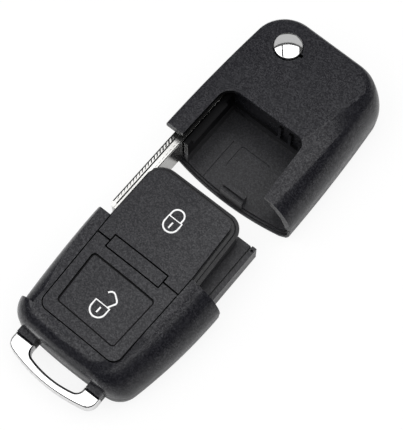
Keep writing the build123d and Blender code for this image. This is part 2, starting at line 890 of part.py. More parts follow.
# Domed release button over the plunger
dome_arc_radius = (button_radius**2 + button_dome**2) / (2 * button_dome)
with BuildPart() as release_button:
    with BuildSketch(Plane((pivot_x, pivot_y, 0), x_dir=(1, 0, 0), z_dir=(0, -1, 0))):
        with BuildLine():
            dome_end = (button_radius, button_rim)
            Polyline(
                (0, button_rim - button_sheet),
                (button_radius - button_sheet, button_rim - button_sheet),
                (button_radius - button_sheet, flange_top),
                (button_radius, flange_top),
                dome_end,
            )
            RadiusArc(dome_end, (0, button_rim + button_dome), -dome_arc_radius)
            Line((0, button_rim + button_dome), (0, button_rim - button_sheet))
        make_face()
    revolve(axis=pivot_axis)

# Flip spring
spring_bottom = hub_bottom + hub_web
spring_height = flange_bottom - spring_bottom - 2 * spring_wire - spring_gap
with BuildPart() as flip_spring:
    with BuildLine() as coil_path:
        Helix(
            pitch=spring_height / spring_turns,
            height=spring_height,
            radius=spring_radius,
            center=(pivot_x, pivot_y, spring_bottom + spring_wire),
        )
    with BuildSketch(Plane(coil_path.line @ 0, z_dir=coil_path.line % 0)):
        Rectangle(2 * spring_wire, 2 * spring_wire)
    sweep(path=coil_path.line, is_frenet=True)

# Remote front shell
with BuildPart() as remote_front_shell:
    add(upper_body(remote_outline))
    # Lugs that hold the key ring bail
    extrude(lug_sketch(parting_height), amount=bail_top + lug_height_margin - parting_height)
    add(right_of_slot(upper_hollow(remote_outline)), mode=Mode.SUBTRACT)
    # Opening for the buttons, and room for their frame
    extrude(panel_sketch(deck_top, panel_gap, remote_y), amount=body_height, mode=Mode.SUBTRACT)
    add(frame_room(), mode=Mode.SUBTRACT)
    # Slot for the folded blade in the left wing
    extrude(wing_slot_sketch(0), amount=wing_roof, mode=Mode.SUBTRACT)
    add(wing_relief_room(), mode=Mode.SUBTRACT)
    add(tang_sockets(), mode=Mode.SUBTRACT)
    add(above_crown(0), mode=Mode.SUBTRACT)
    split(bisect_by=Plane.XZ.offset(pull_apart), keep=Keep.TOP)
    split(bisect_by=Plane.XY.offset(parting_height + parting_gap / 2), keep=Keep.TOP)

# Remote back shell
tray_length = tray_reach - tray_root_y
rail_left = rail_right - rail_width
with BuildPart() as remote_back_shell:
    add(lower_body(remote_outline, remote_sole_radius))
    extrude(
        lug_sketch(bail_bottom - lug_height_margin),
        amount=parting_height - bail_bottom + lug_height_margin,
    )
    split(bisect_by=Plane.XY.offset(parting_height - parting_gap / 2), keep=Keep.BOTTOM)
    add(head_side_of_joint(split_gap, remote_y), mode=Mode.SUBTRACT)
    hollow = lower_body(remote_outline, remote_sole_radius, floor_thickness, side_wall)
    add(right_of_slot(hollow), mode=Mode.SUBTRACT)
    extrude(wing_slot_sketch(slot_bottom), amount=body_height, mode=Mode.SUBTRACT)
    add(tang_sockets(), mode=Mode.SUBTRACT)
    # Battery seat
    with BuildSketch(Plane((0, remote_y, floor_thickness))):
        with Locations((battery_x, battery_y)):
            Circle(battery_radius + battery_rib)
            Circle(battery_radius, mode=Mode.SUBTRACT)
    extrude(amount=battery_rib_height)
    # Tray that slides into the head, on its foot
    with BuildSketch(Plane((0, remote_y, tray_bottom))):
        with Locations((tray_left, tray_root_y)):
            Rectangle(rail_right - tray_left, tray_length, align=(Align.MIN, Align.MIN))
    extrude(amount=tray_thickness)
    with BuildSketch(Plane((0, remote_y, floor_thickness))):
        with Locations((tray_left, tray_root_y)):
            Rectangle(rail_right - tray_left, tray_foot, align=(Align.MIN, Align.MIN))
    extrude(amount=tray_bottom - floor_thickness)
    # Rail along the tray's right edge, with a groove beside it and a pit at its end
    with BuildSketch(Plane((0, remote_y, rail_bottom))):
        with Locations((rail_right, tray_root_y)):
            Rectangle(rail_width, tray_length, align=(Align.MAX, Align.MIN))
    extrude(amount=rail_top - rail_bottom)
    with BuildSketch(Plane((0, remote_y, tray_bottom + tray_thickness))):
        with Locations((rail_left, tray_root_y)):
            Rectangle(tray_groove_width, tray_length, align=(Align.MAX, Align.MIN))
    extrude(amount=-tray_groove_depth, mode=Mode.SUBTRACT)
    with BuildSketch(Plane((0, remote_y, rail_top))):
        with Locations((rail_right - rail_width / 2, tray_reach - rail_pit_from_end)):
            Circle(rail_pit_radius)
    extrude(amount=-rail_pit_depth, mode=Mode.SUBTRACT)

# Button frame
with BuildPart() as button_frame:
    add(frame_collar())
    add(frame_deck())
    with BuildSketch(Plane((0, remote_y, core_bottom))) as core_plan:
        with BuildLine():
            Polyline(
                (core_left, core_end_y),
                (core_left, panel_bottom_y + core_ring_margin),
                (core_right_end, panel_bottom_y + core_ring_margin),
                (core_right, core_turn_y),
                (core_right, core_end_y),
                close=True,
            )
        make_face()
        fillet(core_plan.vertices().group_by(Axis.Y)[-1], core_corner)
        offset(amount=-core_wall, kind=Kind.INTERSECTION, mode=Mode.SUBTRACT)
    extrude(amount=deck_bottom - core_bottom)
    # Recess for the rubber mat, leaving an island under the hinge bar
    with BuildSketch(Plane((0, remote_y, deck_top))):
        add(mat_sketch(mat_margin))
    extrude(amount=-mat_recess, mode=Mode.SUBTRACT)

# Rubber mat under the buttons
with BuildPart() as button_membrane:
    with BuildSketch(Plane((0, remote_y, deck_top - mat_recess))):
        add(mat_sketch(0))
    extrude(amount=mat_thickness)
    with BuildSketch(Plane((0, remote_y, deck_top - mat_recess + mat_thickness))):
        with Locations(*icon_centres):
            Circle(dome_radius)
    extrude(amount=mat_dome, taper=45)

# Hinge bar between the buttons
with BuildPart() as hinge_bar:
    with BuildSketch(Plane((0, remote_y, deck_top))):
        add(bar_sketch(0))
    extrude(amount=body_height - deck_top)
    add(above_crown(0), mode=Mode.SUBTRACT)

# Lock button
with BuildPart() as lock_button:
    extrude(panel_sketch(cap_underside, 0, remote_y), amount=body_height - cap_underside)
    split(bisect_by=Plane.XZ.offset(pull_apart - cap_split_y - cap_split_gap / 2), keep=Keep.BOTTOM)
    with BuildSketch(Plane((0, remote_y, cap_underside))):
        add(bar_sketch(bar_gap))
    extrude(amount=body_height, mode=Mode.SUBTRACT)
    add(above_crown(0), mode=Mode.SUBTRACT)

# Unlock button, with its sunk face
with BuildPart() as unlock_button:
    extrude(panel_sketch(cap_underside, 0, remote_y), amount=body_height - cap_underside)
    split(bisect_by=Plane.XZ.offset(pull_apart - cap_split_y + cap_split_gap / 2), keep=Keep.TOP)
    with BuildSketch(Plane((0, remote_y, cap_underside))):
        add(bar_sketch(bar_gap))
    extrude(amount=body_height, mode=Mode.SUBTRACT)
    add(above_crown(0), mode=Mode.SUBTRACT)
    add(sunk_face_room(recess_depth, 0), mode=Mode.SUBTRACT)
    # Groove round the sunk face
    groove_depth = recess_depth + recess_groove_depth
    add(sunk_face_room(groove_depth, recess_groove_width), mode=Mode.SUBTRACT)

# Key ring bail
with BuildPart() as key_ring_bail:
    with BuildSketch(Plane((0, remote_y, bail_bottom))):
        add(loop_sketch(bail_left, bail_right, bail_side, bail_bow, bail_corner))
        inner = (bail_inner_left, bail_inner_right, bail_inner_side, bail_inner_bow, bail_inner_corner)
        add(loop_sketch(*inner), mode=Mode.SUBTRACT)
    extrude(amount=bail_top - bail_bottom)
    fillet(key_ring_bail.edges().group_by(Axis.Z)[-1], bail_round)
    fillet(key_ring_bail.edges().group_by(Axis.Z)[0], bail_round)
    extrude(tang_sketch(tang_z, 0, -lug_reach - tang_overlap), amount=tang_height)

# Negative battery contact, a bent strip on the floor
with BuildPart() as battery_contact_negative:
    strip_start_y = remote_y + battery_y - battery_radius + contact_lead
    strip_bend_y = remote_y + battery_y + contact_heel
    with BuildSketch(Plane.YZ.offset(battery_x - contact_width / 2)):
        with BuildLine():
            strip = Polyline(
                (strip_start_y, floor_thickness),
                (strip_bend_y, floor_thickness),
                (strip_bend_y + contact_ramp, floor_thickness + contact_rise),
                (strip_bend_y + contact_ramp + contact_tip, floor_thickness + contact_rise),
            )
            offset(strip, amount=contact_sheet, side=Side.LEFT)
        make_face()
    extrude(amount=contact_width)

# Positive battery contact, a clip over the rib
with BuildPart() as battery_contact_positive:
    rib_x = battery_x + battery_radius + battery_rib
    clip_height = floor_thickness + battery_rib_height + 2 * contact_sheet
    with BuildSketch(Plane.XZ.offset(-remote_y - battery_y - contact_width / 2)):
        with BuildLine():
            clip = Polyline(
                (rib_x + contact_sheet, floor_thickness),
                (rib_x + contact_sheet, clip_height),
                (rib_x - contact_hook, clip_height),
            )
            offset(clip, amount=contact_sheet, side=Side.LEFT)
        make_face()
    extrude(amount=contact_width)

# Labels and files
os.makedirs("parts", exist_ok=True)
head_upper_shell.part.label = "head_upper_shell"
export_step(head_upper_shell.part, "parts/head_upper_shell.step")
head_lower_shell.part.label = "head_lower_shell"
export_step(head_lower_shell.part, "parts/head_lower_shell.step")
head_screw.part.label = "head_screw"
export_step(head_screw.part, "parts/head_screw.step")
hub_washer.part.label = "hub_washer"
export_step(hub_washer.part, "parts/hub_washer.step")
blade_hub.part.label = "blade_hub"
export_step(blade_hub.part, "parts/blade_hub.step")
key_blade.part.label = "key_blade"
export_step(key_blade.part, "parts/key_blade.step")
blade_roll_pin.part.label = "blade_roll_pin"
export_step(blade_roll_pin.part, "parts/blade_roll_pin.step")
release_plunger.part.label = "release_plunger"
export_step(release_plunger.part, "parts/release_plunger.step")
release_button.part.label = "release_button"
export_step(release_button.part, "parts/release_button.step")
flip_spring.part.label = "flip_spring"
export_step(flip_spring.part, "parts/flip_spring.step")
remote_front_shell.part.label = "remote_front_shell"
export_step(remote_front_shell.part, "parts/remote_front_shell.step")
remote_back_shell.part.label = "remote_back_shell"
export_step(remote_back_shell.part, "parts/remote_back_shell.step")
button_frame.part.label = "button_frame"
export_step(button_frame.part, "parts/button_frame.step")
button_membrane.part.label = "button_membrane"
export_step(button_membrane.part, "parts/button_membrane.step")
hinge_bar.part.label = "hinge_bar"
export_step(hinge_bar.part, "parts/hinge_bar.step")
lock_button.part.label = "lock_button"
export_step(lock_button.part, "parts/lock_button.step")
unlock_button.part.label = "unlock_button"
export_step(unlock_button.part, "parts/unlock_button.step")
key_ring_bail.part.label = "key_ring_bail"
export_step(key_ring_bail.part, "parts/key_ring_bail.step")
battery_contact_negative.part.label = "battery_contact_negative"
export_step(battery_contact_negative.part, "parts/battery_contact_negative.step")
battery_contact_positive.part.label = "battery_contact_positive"
export_step(battery_contact_positive.part, "parts/battery_contact_positive.step")
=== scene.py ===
"""Dresses the flip key remote shell.

The moulded shells get soft edges, a fine black grain and painted shade on their inner walls, the button
and bail their chrome, the blade its brushed steel and dark bars of painted shade for the nicks, groove and
edges of its spine, and the two button caps their white padlock prints. A pale studio stands round it.
"""

import json
from math import cos, radians, sin

import bmesh
import bpy
import numpy as np
from bpy.props import FloatProperty, FloatVectorProperty, PointerProperty
from bpy.types import Operator, Panel, PropertyGroup
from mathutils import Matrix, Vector


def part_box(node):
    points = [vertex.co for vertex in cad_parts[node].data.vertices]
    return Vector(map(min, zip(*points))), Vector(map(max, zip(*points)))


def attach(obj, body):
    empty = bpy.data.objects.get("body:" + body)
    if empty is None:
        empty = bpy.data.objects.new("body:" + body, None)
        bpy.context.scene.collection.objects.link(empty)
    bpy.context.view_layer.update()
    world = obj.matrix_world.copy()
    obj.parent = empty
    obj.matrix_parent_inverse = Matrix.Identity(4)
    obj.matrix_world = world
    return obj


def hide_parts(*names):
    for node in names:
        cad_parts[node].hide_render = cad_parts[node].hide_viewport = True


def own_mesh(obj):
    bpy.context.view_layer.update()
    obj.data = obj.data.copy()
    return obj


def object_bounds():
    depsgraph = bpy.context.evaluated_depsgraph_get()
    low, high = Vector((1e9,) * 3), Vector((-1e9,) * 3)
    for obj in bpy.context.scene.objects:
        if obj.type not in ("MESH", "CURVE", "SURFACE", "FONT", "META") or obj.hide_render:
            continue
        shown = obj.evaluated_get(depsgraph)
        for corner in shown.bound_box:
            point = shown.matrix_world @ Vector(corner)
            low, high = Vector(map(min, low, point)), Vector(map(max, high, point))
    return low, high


bl_info = {
    "name": "Flip Key Remote Shell",
    "version": (1, 0, 0),
    "blender": (4, 5, 0),
    "location": "3D View > Sidebar > Flip Key",
    "description": "Finishes, prints and studio for a two-button flip key shell",
    "category": "Object",
}

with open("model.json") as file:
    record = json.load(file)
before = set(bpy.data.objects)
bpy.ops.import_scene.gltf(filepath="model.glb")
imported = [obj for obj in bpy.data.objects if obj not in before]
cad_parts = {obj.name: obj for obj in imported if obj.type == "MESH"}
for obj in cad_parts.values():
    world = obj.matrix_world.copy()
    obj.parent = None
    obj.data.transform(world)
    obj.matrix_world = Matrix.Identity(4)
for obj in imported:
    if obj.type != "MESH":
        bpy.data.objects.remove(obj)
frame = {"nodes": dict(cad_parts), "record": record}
cad_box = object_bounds()

MM = 0.001
BODIES = {node: body for body, nodes in frame["record"]["behaviour"]["bodies"].items() for node in nodes}

# Crowned top of the caps: flat up to a line, then a large circle
CAP_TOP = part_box("lock_button")[1].z
CROWN_START = -2.0 * MM
CROWN_RADIUS = 65.0 * MM
SUNK_FACE_DEPTH = 0.45 * MM
# A face this far under the sunk face lies in a groove and gets the painted shade
GROOVE_MARGIN = 0.05 * MM

# The remote's split line, from which the prints are placed, and the flat part of a printed stroke
LOCK_CAP_REACH = 16.2 * MM
REMOTE_SPLIT_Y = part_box("lock_button")[1].y - LOCK_CAP_REACH
STROKE_TOP_SHARE = 0.76

# Which edges count as sharp, how much of the rounding the minor ones get, and where the parting edges lie
WELD_DISTANCE = 0.002 * MM
FLAT_ANGLE = radians(0.5)
SHARP_ANGLE = radians(30)
FINE_EDGE = 0.35
CAP_EDGE = 0.7
BUTTON_EDGE = 1.5
PARTING_HEIGHT = 5.5 * MM
PARTING_BAND = 0.3 * MM
PARTING_REACH = 3.5 * MM

# Which faces count as inner and get the painted shade: how they lean, and how far a ledge lies below the
# top and inside the sides
FACING_UP = 0.5
FACING_DOWN = -0.3
STEEPNESS = 0.7
LEDGE_DROP = 3 * MM
LEDGE_INSET = 5 * MM

# Dark bars on the blade's spine, measured from its outer side: painted shade for the nicks, the groove and
# the two edges, and a broken line of dots. The outer band lies lower than the inner one
BLADE_LOW, BLADE_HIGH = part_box("key_blade")
OUTER_BAND_DEPTH = 0.2 * MM
OUTER_EDGE_BAND = (0.1 * MM, 0.4 * MM)
MARKS_END = 1.5 * MM
MARK_ROOT = 0.03 * MM
NICKS_START = BLADE_LOW.y + 3 * MM
NICK_INSET = 0.28 * MM
NICK_LENGTHS = (0.35 * MM, 0.75 * MM)
NICK_WIDTHS = (0.22 * MM, 0.58 * MM)
NICK_SLANT = -0.7 * MM
NICK_HEIGHT = 0.042 * MM
LINES_START = BLADE_LOW.y + 1.2 * MM
LINES_END = 3 * MM
LINE_HEIGHT = 0.045 * MM
SPINE_LINES = (
    ("spine_groove_shade", 1.0 * MM, 1.44 * MM, OUTER_BAND_DEPTH),
    ("spine_outer_edge_shade", 0.03 * MM, 0.3 * MM, OUTER_BAND_DEPTH),
    ("spine_inner_edge_shade", 2.74 * MM, 2.96 * MM, 0.0),
)
DOTS_START = BLADE_LOW.y + 2 * MM
DOT_PITCH = 1.3 * MM
DOT_LENGTH = 0.85 * MM
DOT_WIDTH = 0.08 * MM
DOT_INSET = 2.25 * MM
DOT_ROOT = 0.02 * MM
DOT_HEIGHT = 0.026 * MM

# The camera looks in from the front right. Lamps line up with it: left, right, near and far side of each
CAMERA_TURN = radians(39.2)
CAMERA_ELEVATION = radians(69)
CAMERA_DISTANCE = 295.5 * MM
CAMERA_TARGET = Vector((2.25, -12.5, 15.0)) * MM
SENSOR_WIDTH = 36.0
LAMP_HEIGHT = 0.62
RIGHT_SOFTBOX = (-0.165, 0.58, -0.48, 0.30)
LEFT_SOFTBOX = (-0.84, -0.235, -0.52, 0.28)
BACK_PANEL = (-1.10, 1.10, 0.44, 2.60)
FLOOR_REACH = 4.0
FLOOR_GAP = 0.02 * MM


class MouldedPlasticSettings(PropertyGroup):
    """The black shells, caps and frame."""

    shell_colour: FloatVectorProperty(
        name="Shell colour", description="Colour of the moulded shells", subtype="COLOR",
        size=3, min=0, max=1, default=(0.006, 0.006, 0.0085),
    )
    cap_colour: FloatVectorProperty(
        name="Cap colour", description="Colour of the two buttons", subtype="COLOR",
        size=3, min=0, max=1, default=(0.0085, 0.0085, 0.011),
    )
    # Partly the lower shells' own lighter tone and partly painted light, lighter to make up for the shade
    # that falls in the head's bay
    lower_colour: FloatVectorProperty(
        name="Lower colour", description="Colour of the lower shells", subtype="COLOR",
        size=3, min=0, max=1, default=(0.020, 0.020, 0.022),
    )
    inner_colour: FloatVectorProperty(
        name="Inner colour", description="Colour of the smooth inner mouldings", subtype="COLOR",
        size=3, min=0, max=1, default=(0.010, 0.010, 0.011),
    )
    speck_colour: FloatVectorProperty(
        name="Speck colour", description="Colour of the light specks in the grain", subtype="COLOR",
        size=3, min=0, max=1, default=(0.075, 0.075, 0.085),
    )
    grain_size: FloatProperty(
        name="Grain size", description="Width of one grain of the moulded surface",
        unit="LENGTH", default=0.26 * MM, min=0.05 * MM, max=MM, precision=5,
    )
    # Painted shade: near-black colour laid on the walls inside the shells, on the caps' sides and in the
    # unlock cap's groove, where shade falls
    painted_shade_colour: FloatVectorProperty(
        name="Shade colour", description="Colour of the smooth walls inside the shells and between the caps",
        subtype="COLOR", size=3, min=0, max=1, default=(0.003, 0.003, 0.0035),
    )
    rubber_colour: FloatVectorProperty(
        name="Rubber colour", description="Colour of the mat under the buttons", subtype="COLOR",
        size=3, min=0, max=1, default=(0.03, 0.03, 0.03),
    )
    edge_radius: FloatProperty(
        name="Edge radius", description="Rounding of the moulded edges",
        unit="LENGTH", default=0.12 * MM, min=0, max=0.5 * MM, precision=5,
    )
    parting_radius: FloatProperty(
        name="Parting radius", description="Rounding of the lower shells' edge along the parting line",
        unit="LENGTH", default=0.3 * MM, min=0, max=0.6 * MM, precision=5,
    )


class MetalSettings(PropertyGroup):
    """The chrome pieces and the steel blade."""

    chrome_colour: FloatVectorProperty(
        name="Chrome colour", description="Colour of the bright plating", subtype="COLOR",
        size=3, min=0, max=1, default=(0.72, 0.72, 0.72),
    )
    blade_colour: FloatVectorProperty(
        name="Blade colour", description="Colour of the brushed steel", subtype="COLOR",
        size=3, min=0, max=1, default=(0.60, 0.595, 0.58),
    )
    plain_colour: FloatVectorProperty(
        name="Plain steel colour", description="Colour of the small steel parts inside", subtype="COLOR",
        size=3, min=0, max=1, default=(0.55, 0.55, 0.55),
    )
    # Painted shade: near-black colour of the bars standing for the shade in the spine's nicks, groove and
    # along its edges; the dots share it
    spine_shade_and_dot_colour: FloatVectorProperty(
        name="Nick colour", description="Colour of the dark nicks along the spine", subtype="COLOR",
        size=3, min=0, max=1, default=(0.012, 0.012, 0.012),
    )
    chrome_edge: FloatProperty(
        name="Chrome edge", description="Rounding of the plated edges",
        unit="LENGTH", default=0.12 * MM, min=0, max=MM, precision=5,
    )
    blade_edge: FloatProperty(
        name="Blade edge", description="Rounding of the blade's long outer edge",
        unit="LENGTH", default=0.06 * MM, min=0, max=MM, precision=5,
    )
    nick_pitch: FloatProperty(
        name="Nick pitch", description="Distance between two nicks of the spine",
        unit="LENGTH", default=1.05 * MM, min=0.3 * MM, max=3 * MM, precision=5,
    )


class PadlockPrintSettings(PropertyGroup):
    """The white padlocks on the two caps."""

    ink_colour: FloatVectorProperty(
        name="Ink colour", description="Colour of the print", subtype="COLOR",
        size=3, min=0, max=1, default=(0.84, 0.84, 0.84),
    )
    stroke: FloatProperty(
        name="Stroke", description="Width of a printed line",
        unit="LENGTH", default=0.4 * MM, min=0.1 * MM, max=MM, precision=5,
    )
    ink_height: FloatProperty(
        name="Ink height", description="Thickness of the print above the cap",
        unit="LENGTH", default=0.03 * MM, min=0.01 * MM, max=0.1 * MM, precision=6,
    )


class StudioSettings(PropertyGroup):
    """Floor, lamps and camera."""

    floor_colour: FloatVectorProperty(
        name="Floor colour", description="Colour of the pale floor", subtype="COLOR",
        size=3, min=0, max=1, default=(0.93, 0.93, 0.93),
    )
    floor_glow: FloatProperty(
        name="Floor glow", description="Share of plain white in what the camera sees of the floor",
        subtype="FACTOR", default=0.86, min=0, max=1,
    )
    mirrored_glow: FloatProperty(
        name="Mirrored glow", description="Share of plain white in what metal and gloss see of the floor",
        subtype="FACTOR", default=0.1, min=0, max=1,
    )
    right_radiance: FloatProperty(
        name="Right softbox", description="Brightness of the right softbox", default=2.3, min=0,
    )
    left_radiance: FloatProperty(
        name="Left softbox", description="Brightness of the left softbox", default=2.7, min=0,
    )
    back_radiance: FloatProperty(
        name="Back panel", description="Brightness of the panel behind the softboxes", default=0.6, min=0,
    )
    room_light: FloatProperty(
        name="Room light", description="Brightness of the dim room", default=0.075, min=0,
    )
    camera_lens: FloatProperty(
        name="Lens", description="Focal length on a 36 mm wide sensor", unit="CAMERA", default=108.84,
    )


class FlipKeySettings(PropertyGroup):
    """All settings of the flip key shell."""

    plastic: PointerProperty(type=MouldedPlasticSettings)
    metal: PointerProperty(type=MetalSettings)
    padlocks: PointerProperty(type=PadlockPrintSettings)
    studio: PointerProperty(type=StudioSettings)


# Shader groups and materials

# The part of a noise's range that is used, and how often a pattern comes per metre
NOISE_SPAN = (0.3, 0.7)
SMUDGE_SPAN = (0.45, 0.7)
LINE_SPAN = (0.35, 0.65)
LINE_AND_SMUDGE_SPAN = (0.2, 1.4)
PATCHES_PER_METRE = 110.0
FINE_SMUDGES_PER_METRE = 2600.0
INK_SPOTS_PER_METRE = 3000.0

# How strongly the patterns show
SPECK_CONTRAST = 1.6
GRAIN_STRENGTH = 0.5
GLOSS_SWING = 0.04
LINE_STRETCH = 0.02
LINE_STRENGTH = 0.3
LINE_SHADE = 0.85
LINE_GLOSS = (0.7, 1.7)
SMUDGE_ROUGHNESS = 0.16
MARK_ROUGHNESS = (0.45, 0.6)
INK_ROUGHNESS = (0.42, 0.6)


def new_group(name, inputs, outputs):
    """An empty shader node group with the given number inputs, and its input and output nodes."""
    group = bpy.data.node_groups.new(name, "ShaderNodeTree")
    for label, value in inputs:
        socket = group.interface.new_socket(label, in_out="INPUT", socket_type="NodeSocketFloat")
        socket.default_value = value
    for label in outputs:
        group.interface.new_socket(label, in_out="OUTPUT", socket_type="NodeSocketFloat")
    return group, group.nodes.new("NodeGroupInput"), group.nodes.new("NodeGroupOutput")


def noise(tree, vector, scale, detail=2.0):
    """A noise texture; scale is a number or a socket."""
    node = tree.nodes.new("ShaderNodeTexNoise")
    node.inputs["Detail"].default_value = detail
    if isinstance(scale, (int, float)):
        node.inputs["Scale"].default_value = scale
    else:
        tree.links.new(scale, node.inputs["Scale"])
    tree.links.new(vector, node.inputs["Vector"])
    return node.outputs["Fac"]


def math(tree, operation, first, second):
    """A math node on two values, each a number or a socket."""
    node = tree.nodes.new("ShaderNodeMath")
    node.operation = operation
    for socket, value in zip(node.inputs, (first, second)):
        if isinstance(value, (int, float)):
            socket.default_value = value
        else:
            tree.links.new(value, socket)
    return node.outputs["Value"]


def map_range(tree, source, from_low, from_high, low, high):
    """Carries a value from one range onto another, held at the ends."""
    node = tree.nodes.new("ShaderNodeMapRange")
    for label, value in zip(("From Min", "From Max", "To Min", "To Max"), (from_low, from_high, low, high)):
        node.inputs[label].default_value = value
    tree.links.new(source, node.inputs["Value"])
    return node.outputs["Result"]


def moulded_grain_group():
    """Spark-eroded grain: a low dome and a random gloss for each cell, and slow patches over many cells."""
    group, entry, result = new_group(
        "moulded_grain", [("Grains per metre", 3000.0)], ["Height", "Specks", "Patches"]
    )
    place = group.nodes.new("ShaderNodeTexCoord").outputs["Object"]
    cells = group.nodes.new("ShaderNodeTexVoronoi")
    group.links.new(place, cells.inputs["Vector"])
    group.links.new(entry.outputs["Grains per metre"], cells.inputs["Scale"])
    domes = map_range(group, cells.outputs["Distance"], 0.0, 0.8, 1.0, 0.0)
    chance = group.nodes.new("ShaderNodeSeparateColor")
    group.links.new(cells.outputs["Color"], chance.inputs["Color"])
    specks = math(group, "POWER", chance.outputs["Red"], SPECK_CONTRAST)
    patches = noise(group, place, PATCHES_PER_METRE)
    group.links.new(domes, result.inputs["Height"])
    group.links.new(specks, result.inputs["Specks"])
    group.links.new(patches, result.inputs["Patches"])
    return group


def brushed_lines_group():
    """Fine scratches along Y: noise squeezed along that axis."""
    group, entry, result = new_group("brushed_lines", [("Lines per metre", 5000.0)], ["Height"])
    stretch = group.nodes.new("ShaderNodeMapping")
    stretch.inputs["Scale"].default_value = (1.0, LINE_STRETCH, 1.0)
    group.links.new(group.nodes.new("ShaderNodeTexCoord").outputs["Object"], stretch.inputs["Vector"])
    lines = noise(group, stretch.outputs["Vector"], entry.outputs["Lines per metre"], detail=4.0)
    group.links.new(lines, result.inputs["Height"])
    return group


def handling_marks_group():
    """Soft smudges left by fingers: slow noise, and finer noise where it is strong."""
    group, entry, result = new_group("handling_marks", [("Marks per metre", 160.0)], ["Smudge"])
    place = group.nodes.new("ShaderNodeTexCoord").outputs["Object"]
    slow = noise(group, place, entry.outputs["Marks per metre"])
    slow = map_range(group, slow, *SMUDGE_SPAN, 0.0, 1.0)
    fine = noise(group, place, FINE_SMUDGES_PER_METRE, detail=3.0)
    group.links.new(math(group, "MULTIPLY", slow, fine), result.inputs["Smudge"])
    return group


def group_node(tree, name, build, **values):
    """Places a shared node group in a material, building it the first time it is asked for."""
    node = tree.nodes.new("ShaderNodeGroup")
    node.node_tree = bpy.data.node_groups.get(name) or build()
    for label, value in values.items():
        node.inputs[label.replace("_", " ")].default_value = value
    return node


def new_material(name, colour, roughness=0.5, metallic=0.0):
    """A node material with one Principled shader; returns it, its tree and the shader."""
    material = bpy.data.materials.new(name)
    material.use_nodes = True
    tree = material.node_tree
    shader = tree.nodes["Principled BSDF"]
    shader.inputs["Base Color"].default_value = (*colour, 1.0)
    shader.inputs["Roughness"].default_value = roughness
    shader.inputs["Metallic"].default_value = metallic
    return material, tree, shader


def mix_colour(tree, factor, first, second):
    """Blends two plain colours by a mask."""
    mix = tree.nodes.new("ShaderNodeMix")
    mix.data_type = "RGBA"
    mix.inputs["A"].default_value = (*first, 1.0)
    mix.inputs["B"].default_value = (*second, 1.0)
    tree.links.new(factor, mix.inputs["Factor"])
    return mix.outputs["Result"]


def add_bump(tree, shader, height, strength, distance):
    """Bends the shader's normal by a height."""
    bump = tree.nodes.new("ShaderNodeBump")
    bump.inputs["Strength"].default_value = strength
    bump.inputs["Distance"].default_value = distance
    tree.links.new(height, bump.inputs["Height"])
    tree.links.new(bump.outputs["Normal"], shader.inputs["Normal"])


def grained_plastic(name, colour, roughness, grain_depth, speckle=0.0, glint=0.0, specular=0.25):
    """Moulded plastic or rubber whose gloss changes slowly over the surface.

    Speckle is how much lighter the lightest grains are, and glint how much glossier.
    """
    plastic = bpy.context.scene.flip_key.plastic
    material, tree, shader = new_material(name, colour, roughness)
    grain = group_node(tree, "moulded_grain", moulded_grain_group, Grains_per_metre=1.0 / plastic.grain_size)
    if speckle:
        tops = math(tree, "MULTIPLY", grain.outputs["Specks"], speckle)
        tree.links.new(mix_colour(tree, tops, colour, plastic.speck_colour), shader.inputs["Base Color"])
    if glint:
        glossy_tops = math(tree, "MULTIPLY", grain.outputs["Specks"], glint)
        tree.links.new(glossy_tops, shader.inputs["Coat Weight"])
        shader.inputs["Coat Roughness"].default_value = roughness
    low, high = roughness - GLOSS_SWING, roughness + GLOSS_SWING
    gloss = map_range(tree, grain.outputs["Patches"], *NOISE_SPAN, low, high)
    tree.links.new(gloss, shader.inputs["Roughness"])
    add_bump(tree, shader, grain.outputs["Height"], GRAIN_STRENGTH, grain_depth)
    shader.inputs["Specular IOR Level"].default_value = specular
    return material


def bright_chrome(name, colour, roughness):
    """Mirror plating, dulled a little where it was touched."""
    material, tree, shader = new_material(name, colour, roughness, metallic=1.0)
    marks = group_node(tree, "handling_marks", handling_marks_group)
    dulled = map_range(tree, marks.outputs["Smudge"], 0.0, 1.0, roughness, roughness + SMUDGE_ROUGHNESS)
    tree.links.new(dulled, shader.inputs["Roughness"])
    return material


def brushed_steel(name, colour, roughness, line_depth, lines_per_metre=5000.0):
    """Steel with fine lines along the key, and a little duller in places."""
    material, tree, shader = new_material(name, colour, roughness, metallic=1.0)
    lines = group_node(tree, "brushed_lines", brushed_lines_group, Lines_per_metre=lines_per_metre)
    marks = group_node(tree, "handling_marks", handling_marks_group, Marks_per_metre=90.0)
    uneven = math(tree, "ADD", lines.outputs["Height"], marks.outputs["Smudge"])
    low, high = (roughness * share for share in LINE_GLOSS)
    duller = map_range(tree, uneven, *LINE_AND_SMUDGE_SPAN, low, high)
    tree.links.new(duller, shader.inputs["Roughness"])
    darker = tuple(value * LINE_SHADE for value in colour)
    bright = map_range(tree, lines.outputs["Height"], *LINE_SPAN, 0.0, 1.0)
    tree.links.new(mix_colour(tree, bright, darker, colour), shader.inputs["Base Color"])
    add_bump(tree, shader, lines.outputs["Height"], LINE_STRENGTH, line_depth)
    return material


def dull_spine_paint(name, colour):
    """Dark, nearly matt paint on the steel: painted shade for the spine's nicks, groove and edges, and its
    dots.
    """
    material, tree, shader = new_material(name, colour)
    shader.inputs["Specular IOR Level"].default_value = 0.2
    marks = group_node(tree, "handling_marks", handling_marks_group)
    duller = map_range(tree, marks.outputs["Smudge"], 0.0, 1.0, *MARK_ROUGHNESS)
    tree.links.new(duller, shader.inputs["Roughness"])
    return material


def print_ink(name, colour):
    """Pad-printed ink with a slightly uneven gloss."""
    material, tree, shader = new_material(name, colour)
    place = tree.nodes.new("ShaderNodeTexCoord").outputs["Object"]
    uneven = map_range(tree, noise(tree, place, INK_SPOTS_PER_METRE), *NOISE_SPAN, *INK_ROUGHNESS)
    tree.links.new(uneven, shader.inputs["Roughness"])
    return material


# Shared ways of making pieces


def link_piece(name, mesh, material, body):
    """Puts a finished mesh in the scene on its body, with its material."""
    piece = bpy.data.objects.new(name, mesh)
    bpy.context.scene.collection.objects.link(piece)
    mesh.materials.append(material)
    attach(piece, body)
    return piece


